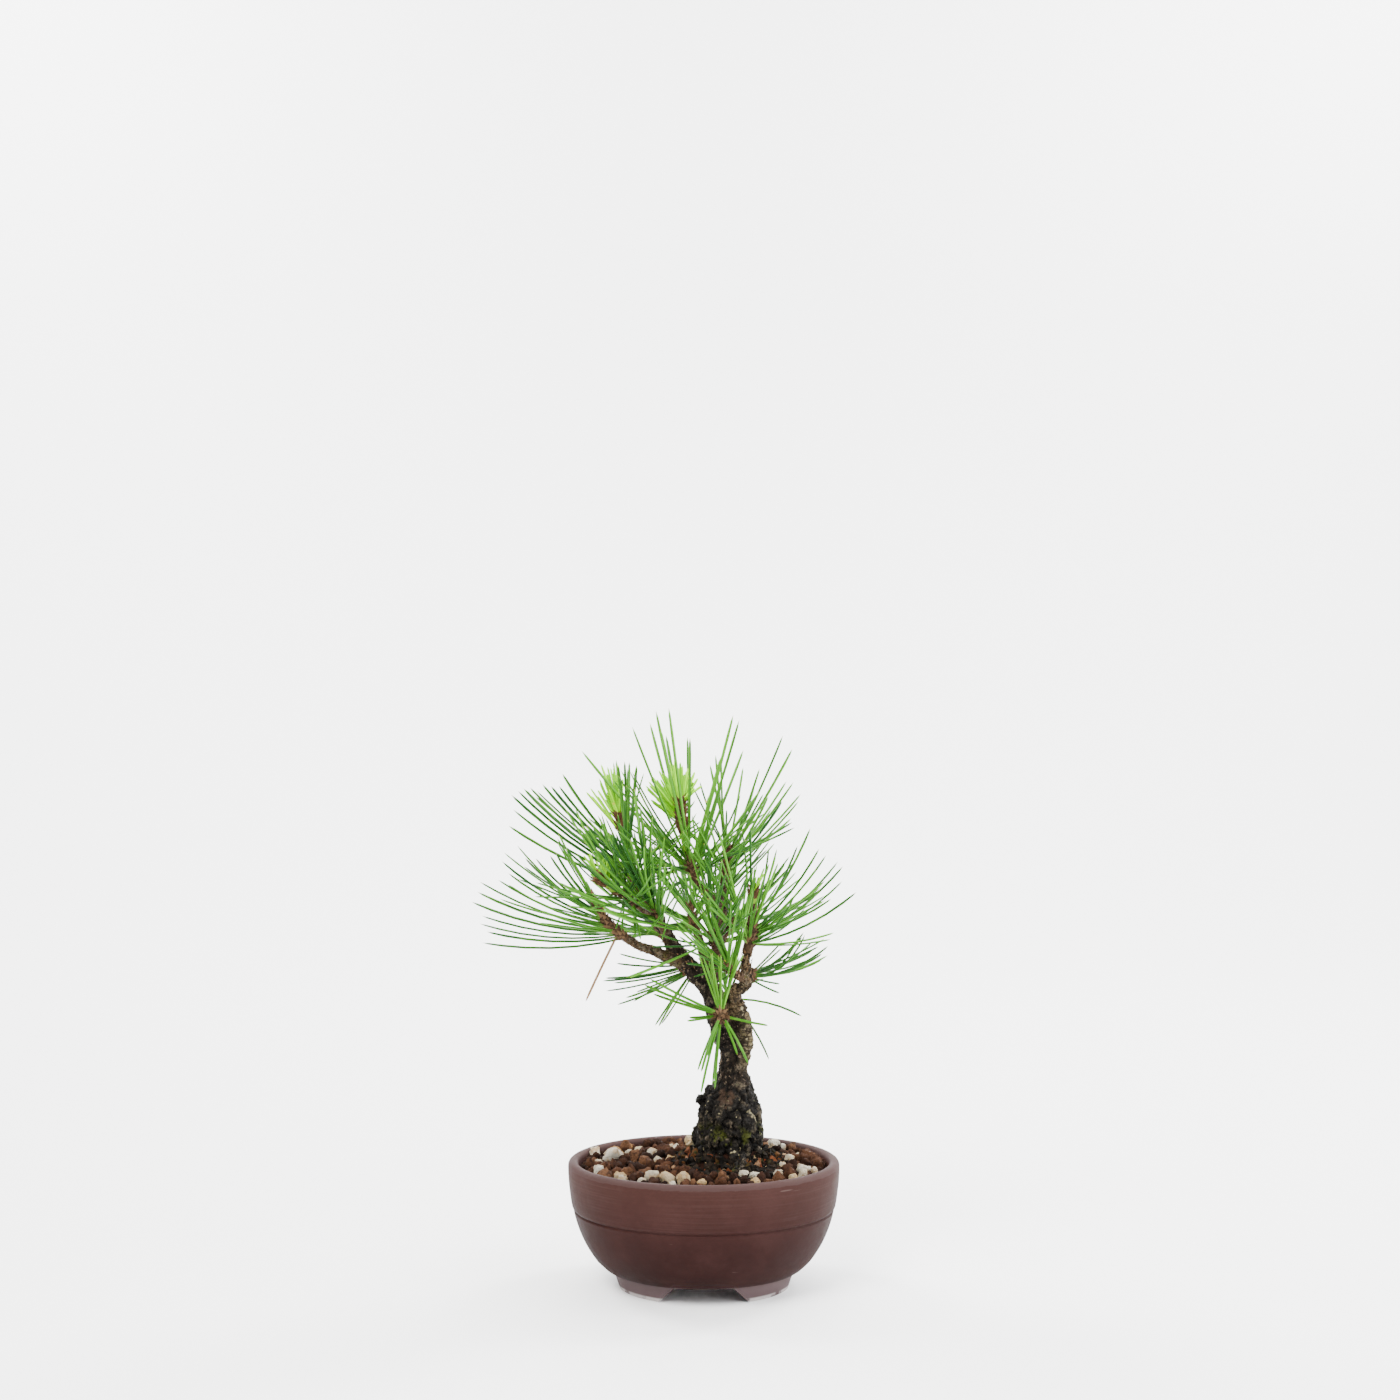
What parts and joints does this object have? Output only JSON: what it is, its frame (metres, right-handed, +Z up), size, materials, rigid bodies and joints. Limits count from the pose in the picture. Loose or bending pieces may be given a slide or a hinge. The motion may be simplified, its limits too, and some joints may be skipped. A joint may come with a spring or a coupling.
{
  "type": "bonsai tree in a pot",
  "caption": "Young black pine bonsai with a swollen, leaning trunk and long paired needles, in an oval unglazed stoneware pot with feet and a granular soil surface.",
  "frame": {"origin": "middle of the whole plant's footprint, on the surface that the feet of the pot stand on", "axes": "+Z up, +X to the right of the front view along the long side of the oval pot, +Y away from the viewer"},
  "size_m": [0.1718, 0.1226, 0.259],
  "materials": {
    "stoneware": "matte",
    "soil": "matte",
    "bark": "matte",
    "needles": "satin",
    "pale_needles": "satin",
    "young_needles": "satin",
    "netting": "matte",
    "wire": "satin"
  },
  "bodies": {
    "root": {"trunk_and_branches": "bark", "needles_left_low": "needles", "needles_left_mid": "needles", "needles_upper_left": "needles", "needles_inner_left": "needles", "needles_top": "needles", "needles_upper_right": "needles", "needles_right": "needles", "needles_right_low": "needles", "needles_centre": "needles", "needles_middle": "needles", "needles_trunk_front": "pale_needles", "needles_lower_left": "needles", "needles_trunk_back": "needles", "needles_back_top": "needles", "needles_back_right": "needles", "needles_back_left": "needles", "candle_top": "young_needles", "candle_upper_left": "young_needles", "candle_left": "young_needles", "candle_right": "young_needles", "pot": "stoneware", "soil": "soil", "drain_screen_left": "netting", "screen_wire_left": "wire", "drain_screen_right": "netting", "screen_wire_right": "wire"}
  },
  "joints": []
}
